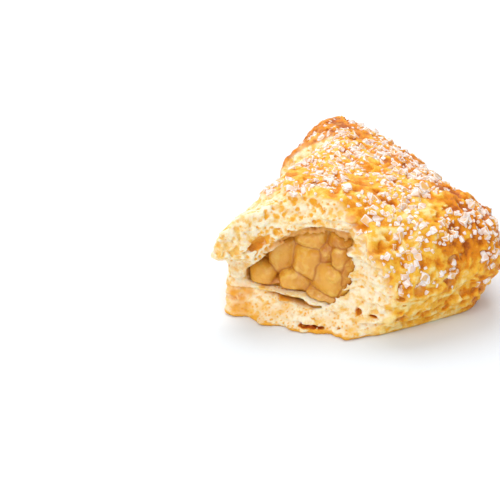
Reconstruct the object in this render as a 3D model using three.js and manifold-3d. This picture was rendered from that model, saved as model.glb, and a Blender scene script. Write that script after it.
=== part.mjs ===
// Apple turnover with one corner torn off: a folded triangle of puff pastry, baked, with coarse sugar
// on its crust and diced apple showing in the torn end. Millimetres, +Z up, flat base on z = 0.
// The two open edges run along X and Y and meet at a square corner. The fold joins their far ends.
import * as THREE from "three";
import { mergeVertices } from "three/addons/utils/BufferGeometryUtils.js";
import Module from "manifold-3d";

// Driving dimensions
const leg = 112; // each open edge of the triangle, corner to corner
const height = 35.8; // crown of the dome
const wallMiddle = 14.3; // height at which the sides stand out furthest
const baseInset = 4.6; // how far the base lies inside that widest outline
const cornerBlend = 10.4; // width over which two sides melt into a corner
const crownBlend = 34; // the same for the dome's inner contours, which are rounder
const sideBulge = { right: 2.5, front: 4, fold: 1.2 };
const domeReach = 33; // distance from the edge at which the dome is level
const domePower = 2.47; // fullness of the dome's section
const frameCentre = { x: -38.36, y: 51.11 }; // middle of the whole part, from the square corner

// Baked edge: a thin base sheet that stands out under a groove, then layers up to the seam
const baseGroove = { z: 2.5, depth: 0.9, width: 0.8 };
const seam = { z: 10, depth: 1.2, width: 1.1 };

// Tear: a line across the front left corner, and how far the torn face stands out of it
const tearStart = { x: -50, y: 3 };
const tearEnd = { x: -75, y: 33 };
const tearWidth = Math.hypot(tearEnd.x - tearStart.x, tearEnd.y - tearStart.y);
const alongTear = { x: (tearEnd.x - tearStart.x) / tearWidth, y: (tearEnd.y - tearStart.y) / tearWidth };
const outOfTear = { x: -alongTear.y, y: alongTear.x };
const baseBow = 2.6; // the base sheet bows out between the ends of the tear
const crumbSlope = 0.62; // the crumb under the apple leans back by this much for each millimetre up
const lipSetBack = 8.5; // top crust at the front end of the tear
const beakReach = 8.8; // how much further the top crust hangs out at the fold end
const frontTurn = { base: -0.6, perHeight: 0.073, top: 26 }; // how the torn face turns past its front end
const layerPitch = 1.9; // thickness of one torn leaf of pastry
const leafRagged = 1.5; // how unevenly the leaves are torn
const skinDepth = { lip: 0.9, shoulder: 3.2 }; // browned skin that came off with the torn piece
const flankDepth = 2; // crumb that came off the front wall beside the tear
const beakNotch = 4.6; // and off the fold's wall under the overhanging top

// Air pockets that the tear opened, as half sizes: width along the tear, height, depth into it
const airPockets = [
  { s: 26.5, z: 23.9, n: 0.2, width: 5, tall: 1.6, deep: 3.8, tilt: -0.6 },
  { s: 21, z: 7, n: -0.6, width: 6.6, tall: 0.95, deep: 4.2, tilt: 0.15 },
  { s: 19.8, z: 4.6, n: 1.4, width: 2.2, tall: 0.7, deep: 2.6, tilt: -0.5 },
  { s: 33.2, z: 5.6, n: 0, width: 1.3, tall: 1, deep: 2.2, tilt: 0 },
  { s: -1.5, z: 7.9, n: -2, width: 1.4, tall: 0.9, deep: 2.4, tilt: 0.3 },
  { s: -1.1, z: 13.9, n: -3.2, width: 1.3, tall: 0.75, deep: 2.6, tilt: 0.2 },
  { s: 11, z: 1.6, n: 2.2, width: 4.2, tall: 0.6, deep: 2.8, tilt: 0.05 },
];

// Thin leaf of dough, torn free, that stands out along the bottom of the mouth
const mouthLeaf = { from: 8, to: 33.5, z: 7.2, rise: 1.8, dip: 3, front: -1.1, back: -5.6, thick: 1.1 };

const pores = { count: 12, least: 0.7, most: 1.3 }; // small holes strewn over the torn face

// Pocket for the filling, which narrows towards the fold both up and down from its middle
const pocket = { inset: 13.4, middle: 16.6, half: 11.4, power: 2.5, foldInset: -3.2 };
const drawnIn = { above: 11, below: 3.5 }; // how far its front wall closes in towards top and bottom
const narrowing = { above: 13, up: 1, below: 10, down: 4 };
const clearance = 0.35; // between the pastry and the filling
const sauceSetBack = 10.5; // the sauce stands this far behind the tear line

// Apple dice that show, from the front end of the tear: place, size, turn about the line of sight,
// and how far the face that shows lies behind the tear line
const dice = [
  { s: 15.9, z: 24, width: 9.2, tall: 6.8, turn: 0.1, back: 6.6 },
  { s: 16, z: 17, width: 8.8, tall: 8.6, turn: 0.08, back: 5.4 },
  { s: 24, z: 16.8, width: 6.8, tall: 11.4, turn: 0.12, back: 5.8 },
  { s: 30.6, z: 11.2, width: 10.8, tall: 7.2, turn: 0.15, back: 4.4 },
  { s: 25.6, z: 8.4, width: 6, tall: 5, turn: 0.1, back: 4.6 },
  { s: 18.6, z: 10.2, width: 8.8, tall: 8, turn: -0.2, back: 4.6 },
  { s: 9.7, z: 13.4, width: 9.4, tall: 8.4, turn: 0.3, back: 4.8 },
  { s: 10.3, z: 7.4, width: 10.8, tall: 5.6, turn: 0.1, back: 4.2 },
  { s: 10.4, z: 20, width: 5.6, tall: 6.8, turn: 0.3, back: 6.6 },
  { s: 7.4, z: 24.2, width: 7, tall: 6.6, turn: 0.4, back: 6.8 },
  { s: 5.6, z: 19.4, width: 5, tall: 8.6, turn: -0.3, back: 6 },
  { s: 2.8, z: 16.4, width: 4.8, tall: 7.6, turn: -0.15, back: 5.6 },
  { s: 4.4, z: 10, width: 5.8, tall: 7, turn: 0.3, back: 5.2 },
];
const diceDepth = 9; // from the face that shows to the back

// Sugar and resolution
const crystal = { count: 114, least: 1.6, most: 2.8, spacing: 5.6, proud: 0.08 };
const around = { crust: 112, pocket: 44 }; // steps round the outline
const crustTone = new THREE.Color(0xd9953f);
const appleTone = new THREE.Color(0xc98c3c);

const wasm = await Module();
wasm.setup();

// Noise and small helpers
function seededRandom(seed) {
  let state = seed;
  return () => {
    state = (state + 0x6d2b79f5) | 0;
    let t = Math.imul(state ^ (state >>> 15), 1 | state);
    t = (t + Math.imul(t ^ (t >>> 7), 61 | t)) ^ t;
    return ((t ^ (t >>> 14)) >>> 0) / 4294967296;
  };
}

function latticeValue(i, j, k) {
  const wave = Math.sin(i * 127.1 + j * 311.7 + k * 74.7) * 43758.5453;
  return 2 * (wave - Math.floor(wave)) - 1;
}

// Smooth noise from -1 to 1 on a lattice of unit cells
function noise(x, y, z) {
  const cell = [Math.floor(x), Math.floor(y), Math.floor(z)];
  const [fx, fy, fz] = [x - cell[0], y - cell[1], z - cell[2]].map((t) => t * t * (3 - 2 * t));
  let sum = 0;
  for (let i = 0; i < 2; i++)
    for (let j = 0; j < 2; j++)
      for (let k = 0; k < 2; k++) {
        const weight = (i ? fx : 1 - fx) * (j ? fy : 1 - fy) * (k ? fz : 1 - fz);
        sum += weight * latticeValue(cell[0] + i, cell[1] + j, cell[2] + k);
      }
  return sum;
}

function ramp(from, to, value) {
  const t = Math.min(1, Math.max(0, (value - from) / (to - from)));
  return t * t * (3 - 2 * t);
}

function bump(value, centre, width) {
  return Math.exp(-(((value - centre) / width) ** 2));
}

function smoothLeast(a, b, width) {
  const h = Math.min(1, Math.max(0, 0.5 + (0.5 * (b - a)) / width));
  return b * (1 - h) + a * h - width * h * (1 - h);
}

// Outline: distance inside each bowed side, and inside all three
function insideSide(x, y, from, to, bulge) {
  const length = Math.hypot(to.x - from.x, to.y - from.y);
  const radius = (length * length) / (8 * bulge) + bulge / 2;
  const inward = { x: -(to.y - from.y) / length, y: (to.x - from.x) / length };
  const centreX = (from.x + to.x) / 2 + inward.x * (radius - bulge);
  const centreY = (from.y + to.y) / 2 + inward.y * (radius - bulge);
  return radius - Math.hypot(x - centreX, y - centreY);
}

const squareCorner = { x: 0, y: 0 };
const backCorner = { x: 0, y: leg };
const tornCorner = { x: -leg, y: 0 };
const outlineMiddle = { x: -leg * (1 - Math.SQRT1_2), y: leg * (1 - Math.SQRT1_2) };

function insideOutline(x, y, foldInset = 0, blend = cornerBlend) {
  const right = insideSide(x, y, squareCorner, backCorner, sideBulge.right);
  const front = insideSide(x, y, tornCorner, squareCorner, sideBulge.front);
  const fold = insideSide(x, y, backCorner, tornCorner, sideBulge.fold) - foldInset;
  return smoothLeast(smoothLeast(right, front, blend), fold, blend);
}

// The same near the edge, turning to rounder contours that reach domeReach at the middle
const crownScale = domeReach / insideOutline(outlineMiddle.x, outlineMiddle.y, 0, crownBlend);

function domeDepth(x, y) {
  const edge = insideOutline(x, y);
  const crown = insideOutline(x, y, 0, crownBlend) * crownScale;
  const share = ramp(12, 30, edge);
  return edge + (crown - edge) * share;
}

// Distance from the middle of the outline, along a ray, at which a falling measure reaches a value
function reachAlong(angle, value, measure) {
  let near = 0;
  let far = leg;
  for (let step = 0; step < 34; step++) {
    const middle = (near + far) / 2;
    const x = outlineMiddle.x + middle * Math.cos(angle);
    const y = outlineMiddle.y + middle * Math.sin(angle);
    if (measure(x, y) > value) near = middle;
    else far = middle;
  }
  return near;
}

// Place of a point beside the tear: s along it from the front, n out of it towards the lost corner
function beside(x, y) {
  const dx = x - tearStart.x;
  const dy = y - tearStart.y;
  return { s: dx * alongTear.x + dy * alongTear.y, n: dx * outOfTear.x + dy * outOfTear.y };
}

// Shares of the browned skin that came off: a band behind the lip and down the front wall, and the
// fold's shoulder
function lipTorn(s, n, z) {
  const band = ramp(-17, -12, n + 0.35 * (s - 17) + 1.5 * noise(s / 4, n / 4, z / 4));
  return Math.min(band, ramp(-15, -11, s - 0.42 * z));
}

function shoulderTorn(s, n, z) {
  return ramp(14, 20, z) * ramp(-62, -48, n) * ramp(33, 39, s - 0.1 * n);
}

// Crumb that went with the torn corner: off the front wall, and off the fold's wall under the beak
function crumbTorn(s, n, z) {
  const flank = flankDepth * ramp(-17, -10, s) * ramp(3, 12, z) * (1 - ramp(3, 9, s)) * ramp(-18, -8, n);
  const underBeak = beakNotch * bump(z, 12.5, 5) * ramp(-16, -5, n) * ramp(26, 34, s);
  return (flank + underBeak) * (1 + 0.3 * noise(s / 3, n / 3, z / 1.6));
}

// Relief of the crust, outwards: slow blisters, wrinkles, and thin layers down the two open edges
function crustRelief(x, y, z) {
  const blisters = 1.3 * noise(x / 13, y / 13, z / 13) + 0.7 * noise(x / 5.5, y / 5.5, z / 5.5);
  const openEdge = ramp(2, 12, insideSide(x, y, backCorner, tornCorner, sideBulge.fold));
  const seamHere = seam.depth * bump(z, seam.z, seam.width) * (1 + noise(x / 9, y / 9, 4.4));
  const groove = bump(z, baseGroove.z, baseGroove.width);
  const grooveHere = baseGroove.depth * groove * (1 + noise(x / 7, y / 7, 1.7));
  const leaves = 0.8 * noise(x / 24, y / 24, z / 1.5) * ramp(1.2, 3, z);
  const layers = openEdge * (1 - ramp(18, 26, z)) * (leaves - seamHere - grooveHere);
  const { s, n } = beside(x, y);
  const skin = Math.max(skinDepth.lip * lipTorn(s, n, z), skinDepth.shoulder * shoulderTorn(s, n, z));
  return blisters * ramp(0.5, 6, z) + layers - skin - crumbTorn(s, n, z);
}

// Solids from meshes
function toSolid(geometry) {
  geometry.deleteAttribute("normal");
  geometry.deleteAttribute("uv");
  const merged = mergeVertices(geometry, 1e-4);
  const mesh = new wasm.Mesh({
    numProp: 3,
    vertProperties: merged.attributes.position.array,
    triVerts: new Uint32Array(merged.index.array),
  });
  return new wasm.Manifold(mesh);
}

function toGeometry(solid) {
  const mesh = solid.getMesh();
  const geometry = new THREE.BufferGeometry();
  geometry.setAttribute("position", new THREE.BufferAttribute(mesh.vertProperties, 3));
  geometry.setIndex(new THREE.BufferAttribute(mesh.triVerts, 1));
  geometry.computeVertexNormals();
  return geometry;
}

function largestBody(solid) {
  return solid.decompose().reduce((best, body) => (body.volume() > best.volume() ? body : best));
}

// Closed skin over rings of points that run anticlockwise, from a lower pole to an upper pole. A ring
// has as many points as the one below it, or half as many.
function skinOverRings(lowerPole, rings, upperPole) {
  const points = [lowerPole, ...rings.flat(), upperPole];
  const last = points.length - 1;
  const index = [];
  const lowest = rings[0].length;
  for (let k = 0; k < lowest; k++) index.push(0, 1 + ((k + 1) % lowest), 1 + k);
  let low = 1;
  for (let ring = 0; ring < rings.length - 1; ring++) {
    const count = rings[ring].length;
    const countAbove = rings[ring + 1].length;
    const high = low + count;
    const halved = countAbove < count;
    for (let k = 0; k < count; k++) {
      const next = low + ((k + 1) % count);
      const above = high + (halved ? Math.floor(k / 2) : k);
      const aboveNext = high + (((halved ? Math.floor(k / 2) : k) + 1) % countAbove);
      if (!halved) index.push(low + k, next, aboveNext, low + k, aboveNext, above);
      else if (k % 2 === 0) index.push(low + k, next, above);
      else index.push(low + k, next, aboveNext, low + k, aboveNext, above);
    }
    low = high;
  }
  const highest = rings[rings.length - 1].length;
  for (let k = 0; k < highest; k++) index.push(low + k, low + ((k + 1) % highest), last);
  const geometry = new THREE.BufferGeometry().setFromPoints(points);
  return geometry.setIndex(index);
}

// Whole baked crust before it was torn
function wallInset(z) {
  return baseInset * Math.max(0, 1 - z / wallMiddle) ** 1.5;
}

function crustPoint(angle, { inset, z, up }) {
  const flat = reachAlong(angle, inset, z > wallMiddle ? domeDepth : insideOutline);
  const x = outlineMiddle.x + flat * Math.cos(angle);
  const y = outlineMiddle.y + flat * Math.sin(angle);
  const relief = z > 0 ? crustRelief(x, y, z) : 0;
  const side = (relief * (1 - up)) / (flat + 1e-6);
  return new THREE.Vector3(
    x + (x - outlineMiddle.x) * side,
    y + (y - outlineMiddle.y) * side,
    z + relief * up,
  );
}

// One level of the crust's section: how far in from the outline, how high, and how much it faces up
function wallSection(z) {
  return { inset: wallInset(z), z, up: 0 };
}

function domeSection(share) {
  const turn = (share * Math.PI) / 2;
  const out = Math.cos(turn) ** (2 / domePower);
  const rise = Math.sin(turn) ** (2 / domePower);
  const z = wallMiddle + (height - wallMiddle) * rise;
  return { inset: (1 - out) * domeReach, z, up: ramp(0.1, 0.7, rise) };
}

function crustShell() {
  const wallHeights = [0, 1.5, 2.5, 3.8, 5.4, 7.2, 8.8, 10, 11.4, wallMiddle];
  const domeSteps = 15;
  const sections = wallHeights.map(wallSection);
  for (let step = 1; step < domeSteps; step++) sections.push(domeSection(step / domeSteps));
  const rings = sections.map((section) => {
    const count = around.crust / (section.inset < 11 ? 1 : section.inset < 21 ? 2 : 4);
    return Array.from({ length: count }, (_, k) => crustPoint((k / count) * 2 * Math.PI, section));
  });
  const crown = height + crustRelief(outlineMiddle.x, outlineMiddle.y, height);
  return skinOverRings(
    new THREE.Vector3(outlineMiddle.x, outlineMiddle.y, 0),
    rings,
    new THREE.Vector3(outlineMiddle.x, outlineMiddle.y, crown),
  );
}

// Torn face: how far it stands out of the tear line, at s along it and z up
function tornReach(s, z) {
  const across = Math.min(1, Math.max(0, s / tearWidth));
  const base = 0.4 + baseBow * Math.sin(Math.PI * across);
  const crumb = base - 0.8 - crumbSlope * Math.min(z, 11) * (1 - 0.7 * ramp(28, 36, s));
  const lip = -lipSetBack + 0.18 * s + beakReach * ramp(18, 39, s);
  const low = z < 1.8 ? base : crumb;
  const notch = 6 * bump(z, 15.5, 2.2) * ramp(26, 36, s);
  const leanBack = 0.035 * Math.max(0, z - 23) ** 2;
  const smooth = low + (lip - low) * ramp(9, 20, z) - notch - leanBack;
  const leaf = Math.floor((z + 0.8 * noise(s / 9, 3.1, 0.5)) / layerPitch);
  const ragged = leafRagged * noise(s / 5, leaf * 1.37, 7.7) + 0.7 * noise(s / 1.8, z / 1.4, 2.3);
  const turn = frontTurn.base + frontTurn.perHeight * Math.min(z, frontTurn.top);
  return smooth + ragged + turn * Math.max(0, -s);
}

// The piece that was torn away: a block whose inner face is the torn face
function tornAway() {
  const from = { s: -16, z: -2 };
  const to = { s: 52, z: 44 };
  const steps = { s: 44, z: 32 };
  const farOut = 75;
  const block = new THREE.BoxGeometry(1, 1, 1, steps.s, 1, steps.z);
  const position = block.attributes.position;
  for (let i = 0; i < position.count; i++) {
    const s = from.s + (position.getX(i) + 0.5) * (to.s - from.s);
    const z = from.z + (position.getZ(i) + 0.5) * (to.z - from.z);
    const n = position.getY(i) < 0 ? tornReach(s, z) : farOut;
    const point = atTear(s, n, z);
    position.setXYZ(i, point.x, point.y, point.z);
  }
  return block;
}

// A point at s along the tear, n out of it and z up
function atTear(s, n, z) {
  const x = tearStart.x + s * alongTear.x + n * outOfTear.x;
  const y = tearStart.y + s * alongTear.y + n * outOfTear.y;
  return new THREE.Vector3(x, y, z);
}

// Turns a piece modelled with its width on X, depth on Y and height on Z to face out of the tear
function placedAtTear(geometry, { s, n, z, turn }) {
  const facing = Math.atan2(alongTear.y, alongTear.x);
  const place = atTear(s, n, z);
  return geometry.rotateY(-turn).rotateZ(facing).translate(place.x, place.y, place.z);
}

function airPocketSolid({ s, z, n, width, tall, deep, tilt }) {
  const ball = new THREE.SphereGeometry(1, 9, 6).scale(width, deep, tall);
  return toSolid(placedAtTear(ball, { s, n, z, turn: tilt }));
}

function poreSolids() {
  const random = seededRandom(5);
  return Array.from({ length: pores.count }, () => {
    const s = -7 + 42 * random();
    const z = random() < 0.5 ? 3 + 5 * random() : 19 + 12 * random();
    const size = pores.least + (pores.most - pores.least) * random();
    const ball = new THREE.SphereGeometry(size, 6, 4).scale(1.3, 1.6, 0.8);
    return toSolid(placedAtTear(ball, { s, n: tornReach(s, z), z, turn: random() - 0.5 }));
  });
}

// The leaf grown on every side by a gap, ragged along its front and dipping into the crumb at one end
function mouthLeafSolid(gap) {
  const plate = new THREE.BoxGeometry(1, 1, 1, 13, 1, 1);
  const position = plate.attributes.position;
  for (let i = 0; i < position.count; i++) {
    const s = mouthLeaf.from + (position.getX(i) + 0.5) * (mouthLeaf.to - mouthLeaf.from);
    const level = mouthLeaf.z + mouthLeaf.rise * ramp(10, 20, s) - mouthLeaf.dip * (1 - ramp(8, 12, s));
    const front = mouthLeaf.front - 1.2 * ramp(24, 30, s) + 0.9 * noise(s / 1.6, 0.5, 8.1);
    const atFront = position.getY(i) > 0;
    const n = atFront ? front + gap : mouthLeaf.back - gap;
    const half = mouthLeaf.thick * (atFront ? 0.3 : 0.5) + gap;
    const point = atTear(s, n, level + 0.3 * noise(s / 3, 1.7, 0.4) + half * Math.sign(position.getZ(i)));
    position.setXYZ(i, point.x, point.y, point.z);
  }
  return toSolid(plate);
}

// Pocket that the filling lies in, drawn in on every side by a gap
function pocketSkin(gap) {
  const levels = 11;
  const steps = around.pocket;
  const rings = [];
  for (let level = 1; level < levels; level++) {
    const turn = (level / levels - 0.5) * Math.PI;
    const rise = Math.sign(turn) * Math.abs(Math.sin(turn)) ** (2 / pocket.power);
    const z = pocket.middle + pocket.half * rise;
    const out = Math.cos(turn) ** (2 / pocket.power);
    const above = narrowing.up * Math.max(0, z - narrowing.above);
    const below = narrowing.down * Math.max(0, narrowing.below - z);
    const closing = rise > 0 ? drawnIn.above : drawnIn.below;
    const inset = pocket.inset + gap + (1 - out) * closing;
    const measure = (x, y) => insideOutline(x, y, pocket.foldInset + above + below);
    const ring = Array.from({ length: steps }, (_, k) => {
      const angle = (k / steps) * 2 * Math.PI;
      const flat = reachAlong(angle, inset, measure);
      return new THREE.Vector3(
        outlineMiddle.x + flat * Math.cos(angle),
        outlineMiddle.y + flat * Math.sin(angle),
        z - gap * rise,
      );
    });
    rings.push(ring);
  }
  const pole = (side) =>
    new THREE.Vector3(outlineMiddle.x, outlineMiddle.y, pocket.middle + side * (pocket.half - gap));
  return skinOverRings(pole(-1), rings, pole(1));
}

// A cooked cube: faces a little swollen, edges and corners worn
function appleDie({ s, z, width, tall, turn, back }) {
  const cube = new THREE.BoxGeometry(2, 2, 2, 2, 2, 2);
  const position = cube.attributes.position;
  const swell = [0, 1.04, 0.92, 0.82];
  for (let i = 0; i < position.count; i++) {
    const point = new THREE.Vector3().fromBufferAttribute(position, i);
    const outermost = point.toArray().filter((t) => Math.abs(t) > 0.9).length;
    point.multiplyScalar(swell[outermost] / 2);
    position.setXYZ(i, point.x * width, point.y * diceDepth, point.z * tall);
  }
  return toSolid(placedAtTear(cube, { s, n: -back - diceDepth / 2, z, turn }));
}

// Everything further back from the tear than the sauce
function behindSauce() {
  const size = 140;
  const block = new THREE.BoxGeometry(size, size, size);
  return toSolid(placedAtTear(block, { s: tearWidth / 2, n: -sauceSetBack - size / 2, z: 0, turn: 0 }));
}

// Coarse sugar, scattered until the crust holds its count, each crystal clear of the others
function sugarCrystals() {
  const random = seededRandom(11);
  const places = [];
  const crystals = [];
  const tries = 20000;
  for (let attempt = 0; attempt < tries && crystals.length < crystal.count; attempt++) {
    const angle = random() * 2 * Math.PI;
    const level = random();
    const section = level < 0.25 ? wallSection(5 + 36 * level) : domeSection((level - 0.25) / 0.75);
    const place = crustPoint(angle, section);
    const size = crystal.least + (crystal.most - crystal.least) * random() ** 2;
    const { s, n } = beside(place.x, place.y);
    const keepOut = insideSide(place.x, place.y, backCorner, tornCorner, sideBulge.fold) < 5 && place.z < 20;
    if (keepOut || n > tornReach(s, place.z) - 6) continue;
    if (lipTorn(s, n, place.z) > 0.5 || shoulderTorn(s, n, place.z) > 0.5) continue;
    if (places.some((other) => other.distanceTo(place) < crystal.spacing)) continue;
    places.push(place);
    const middle = new THREE.Vector3(outlineMiddle.x, outlineMiddle.y, place.z);
    const away = place.clone().sub(middle).normalize();
    const outwards = away.multiplyScalar(1 - section.up).add(new THREE.Vector3(0, 0, section.up)).normalize();
    const grain = new THREE.BoxGeometry(size, size * (0.6 + 0.4 * random()), size * (0.55 + 0.3 * random()));
    grain.rotateX(random() * Math.PI).rotateY(random() * Math.PI).rotateZ(random() * Math.PI);
    const centre = place.clone().addScaledVector(outwards, size * crystal.proud);
    crystals.push(toSolid(grain.translate(centre.x, centre.y, centre.z)));
  }
  return crystals;
}

const shell = toSolid(crustShell());
const holes = [...airPockets.map(airPocketSolid), ...poreSolids()];
const hollows = [toSolid(tornAway()), toSolid(pocketSkin(0)), ...holes];
const bare = largestBody(shell.subtract(wasm.Manifold.union(hollows)));
const crust = largestBody(wasm.Manifold.union([bare, mouthLeafSolid(0), ...sugarCrystals()]));

const room = toSolid(pocketSkin(clearance)).subtract(mouthLeafSolid(clearance));
const sauce = room.intersect(behindSauce());
const apple = largestBody(wasm.Manifold.union([sauce, ...dice.map(appleDie)]).intersect(room));

function namedMesh(name, solid, color, roughness) {
  const material = new THREE.MeshStandardMaterial({ color, roughness, metalness: 0 });
  const mesh = new THREE.Mesh(toGeometry(solid), material);
  mesh.name = name;
  return mesh;
}

const turnover = new THREE.Group();
turnover.add(namedMesh("pastry", crust, crustTone, 0.62));
turnover.add(namedMesh("apple_filling", apple, appleTone, 0.25));
turnover.position.set(-frameCentre.x, -frameCentre.y, 0);

export default turnover;
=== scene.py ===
"""An apple turnover of puff pastry, with one corner torn off: its baked crust and crumb, the coarse
sugar on it, and the diced apple that shows in the torn end. Everything stands in the part's own frame."""
import math
import random

import bmesh
import bpy
import numpy as np
import openvdb
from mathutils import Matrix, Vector


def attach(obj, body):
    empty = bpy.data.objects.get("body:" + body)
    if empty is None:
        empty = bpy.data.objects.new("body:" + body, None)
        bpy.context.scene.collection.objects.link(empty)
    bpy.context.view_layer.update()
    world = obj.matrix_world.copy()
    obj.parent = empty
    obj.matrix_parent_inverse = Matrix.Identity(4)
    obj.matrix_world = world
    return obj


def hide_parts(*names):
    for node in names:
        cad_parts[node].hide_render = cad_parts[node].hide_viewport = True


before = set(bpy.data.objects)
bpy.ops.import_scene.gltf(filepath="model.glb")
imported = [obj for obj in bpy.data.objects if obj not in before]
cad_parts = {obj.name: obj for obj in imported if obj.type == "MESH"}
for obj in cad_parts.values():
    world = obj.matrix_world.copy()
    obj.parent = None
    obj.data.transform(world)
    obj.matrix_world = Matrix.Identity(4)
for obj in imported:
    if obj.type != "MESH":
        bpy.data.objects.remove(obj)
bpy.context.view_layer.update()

# Puff pastry: a square of laminated dough folded into a triangle, sealed along two edges and baked
# until it domed. Its front left corner is torn off, which opens the crumb and the pocket inside.
# Lengths in this section are millimetres from the square corner, with the open edges on X and Y.
LEG = 112.0  # each open edge
CROWN = 35.8  # top of the dome, without its blisters
WALL_MIDDLE = 14.3  # height at which the walls stand furthest out
BASE_INSET = 4.6  # how far they draw in from there to the base
BULGE = {"right": 2.5, "front": 4.0, "fold": 1.2}  # how far each edge bows out
CORNER_ROUND = 10.4  # how softly two edges meet
CROWN_ROUND = 34.0  # the same near the top of the dome
DOME_REACH = 33.0  # how far in from the outline the dome rises
DOME_POWER = 2.47
MIDDLE = (-LEG * (1 - math.sqrt(0.5)), LEG * (1 - math.sqrt(0.5)))
FRAME_CENTRE = (-38.36, 51.11)  # origin of the part's own frame

TEAR_START = (-50.0, 3.0)  # the tear runs from the front edge to the fold
TEAR_END = (-75.0, 33.0)
TEAR_WIDTH = math.dist(TEAR_START, TEAR_END)
ALONG = tuple((end - start) / TEAR_WIDTH for start, end in zip(TEAR_START, TEAR_END))
OUTWARD = (-ALONG[1], ALONG[0])

POCKET_MIDDLE = 16.4  # height of the middle of the pocket for the filling
POCKET_HALF = 11.1  # half of its height
POCKET_POWER = 2.5
DOUGH_THICK = 13.4  # dough between the pocket and the outline

GRAIN = 0.45  # spacing of the grid on which the dough is worked out
DOUGH_START = np.array([-84.0, -7.0, -1.35])  # two corners of that grid
DOUGH_END = np.array([6.5, 109.5, 40.0])
FIELD_LIMIT = 4.0  # distances from the surface are kept up to this
RELIEF_REACH = 3.4  # and the relief is worked out this near the plain surface
random_dough = np.random.default_rng(4)


def ramp(low, high, value):
    """Share from 0 to 1, as a value passes from low to high."""
    t = np.clip((value - low) / (high - low), 0, 1)
    return t * t * (3 - 2 * t)


def bump(value, centre, width):
    """Share from 0 to 1, most at the centre."""
    return np.exp(-(((value - centre) / width) ** 2))


def soft_least(a, b, width):
    """The lesser of two values, with a rounded change from one to the other."""
    h = np.clip(0.5 + 0.5 * (b - a) / width, 0, 1)
    return b * (1 - h) + a * h - width * h * (1 - h)


def soft_most(a, b, width):
    return -soft_least(-a, -b, width)


def lattice(i, j, k):
    """A draw from -1 to 1 that belongs to each point of a lattice."""
    wave = np.sin(i * 127.1 + j * 311.7 + k * 74.7) * 43758.5453
    return 2 * (wave - np.floor(wave)) - 1


def noise(x, y, z):
    """Smooth swings from -1 to 1, one unit apart."""
    x, y, z = np.broadcast_arrays(*(np.asarray(v, dtype=np.float64) for v in (x, y, z)))
    cx, cy, cz = np.floor(x), np.floor(y), np.floor(z)
    fx, fy, fz = x - cx, y - cy, z - cz
    fx, fy, fz = fx * fx * (3 - 2 * fx), fy * fy * (3 - 2 * fy), fz * fz * (3 - 2 * fz)
    total = np.zeros(x.shape)
    for i in (0, 1):
        for j in (0, 1):
            for k in (0, 1):
                share = (fx if i else 1 - fx) * (fy if j else 1 - fy) * (fz if k else 1 - fz)
                total += share * lattice(cx + i, cy + j, cz + k)
    return total


DRAWS = random_dough.uniform(-1, 1, (32, 32, 32))


def fine_noise(x, y, z):
    """The same from a small table of draws, for grain too fine to matter to the form."""
    x, y, z = np.broadcast_arrays(*(np.asarray(v, dtype=np.float64) for v in (x, y, z)))
    cell = [np.floor(v).astype(np.int64) for v in (x, y, z)]
    part = [v - c for v, c in zip((x, y, z), cell)]
    part = [f * f * (3 - 2 * f) for f in part]
    total = np.zeros(x.shape)
    for i in (0, 1):
        for j in (0, 1):
            for k in (0, 1):
                share = (part[0] if i else 1 - part[0]) * (part[1] if j else 1 - part[1])
                draw = DRAWS[(cell[0] + i) & 31, (cell[1] + j) & 31, (cell[2] + k) & 31]
                total += share * (part[2] if k else 1 - part[2]) * draw
    return total


def inside_side(x, y, start, end, bulge):
    """Depth inside one bowed edge."""
    length = math.hypot(end[0] - start[0], end[1] - start[1])
    radius = length * length / (8 * bulge) + bulge / 2
    inward = (-(end[1] - start[1]) / length, (end[0] - start[0]) / length)
    cx = (start[0] + end[0]) / 2 + inward[0] * (radius - bulge)
    cy = (start[1] + end[1]) / 2 + inward[1] * (radius - bulge)
    return radius - np.hypot(x - cx, y - cy)


def inside_fold(x, y):
    return inside_side(x, y, (0.0, LEG), (-LEG, 0.0), BULGE["fold"])


def inside_outline(x, y, fold_inset=0.0, blend=CORNER_ROUND):
    """Depth inside the outline, with its fold moved in where asked."""
    right = inside_side(x, y, (0.0, 0.0), (0.0, LEG), BULGE["right"])
    front = inside_side(x, y, (-LEG, 0.0), (0.0, 0.0), BULGE["front"])
    return soft_least(soft_least(right, front, blend), inside_fold(x, y) - fold_inset, blend)


def dome_depth(x, y):
    """The same depth, for the dome: its lines of equal height grow rounder towards the crown."""
    edge = inside_outline(x, y)
    crown = inside_outline(x, y, 0.0, CROWN_ROUND)
    deepest = inside_outline(np.array(MIDDLE[0]), np.array(MIDDLE[1]), 0.0, CROWN_ROUND)
    crown = crown * DOME_REACH / deepest
    return edge + (crown - edge) * ramp(12, 30, edge)


def beside_tear(x, y):
    """Place along the tear, from the front edge, and how far outward of its line."""
    dx, dy = x - TEAR_START[0], y - TEAR_START[1]
    return dx * ALONG[0] + dy * ALONG[1], dx * OUTWARD[0] + dy * OUTWARD[1]


def whole_dough(x, y, z):
    """Less than 0 inside the turnover as it was before its crust puffed unevenly or tore."""
    above = z > WALL_MIDDLE
    inset = np.where(above, 0.0, BASE_INSET * np.clip(1 - z / WALL_MIDDLE, 0, 1.3) ** 1.5)
    w = 1 - (np.where(above, dome_depth(x, y), inside_outline(x, y)) - inset) / DOME_REACH
    w = np.maximum(w, 0)
    h = np.clip((z - WALL_MIDDLE) / (CROWN - WALL_MIDDLE), 0, 2)
    return (w**DOME_POWER + h**DOME_POWER) ** (1 / DOME_POWER) - 1


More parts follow.
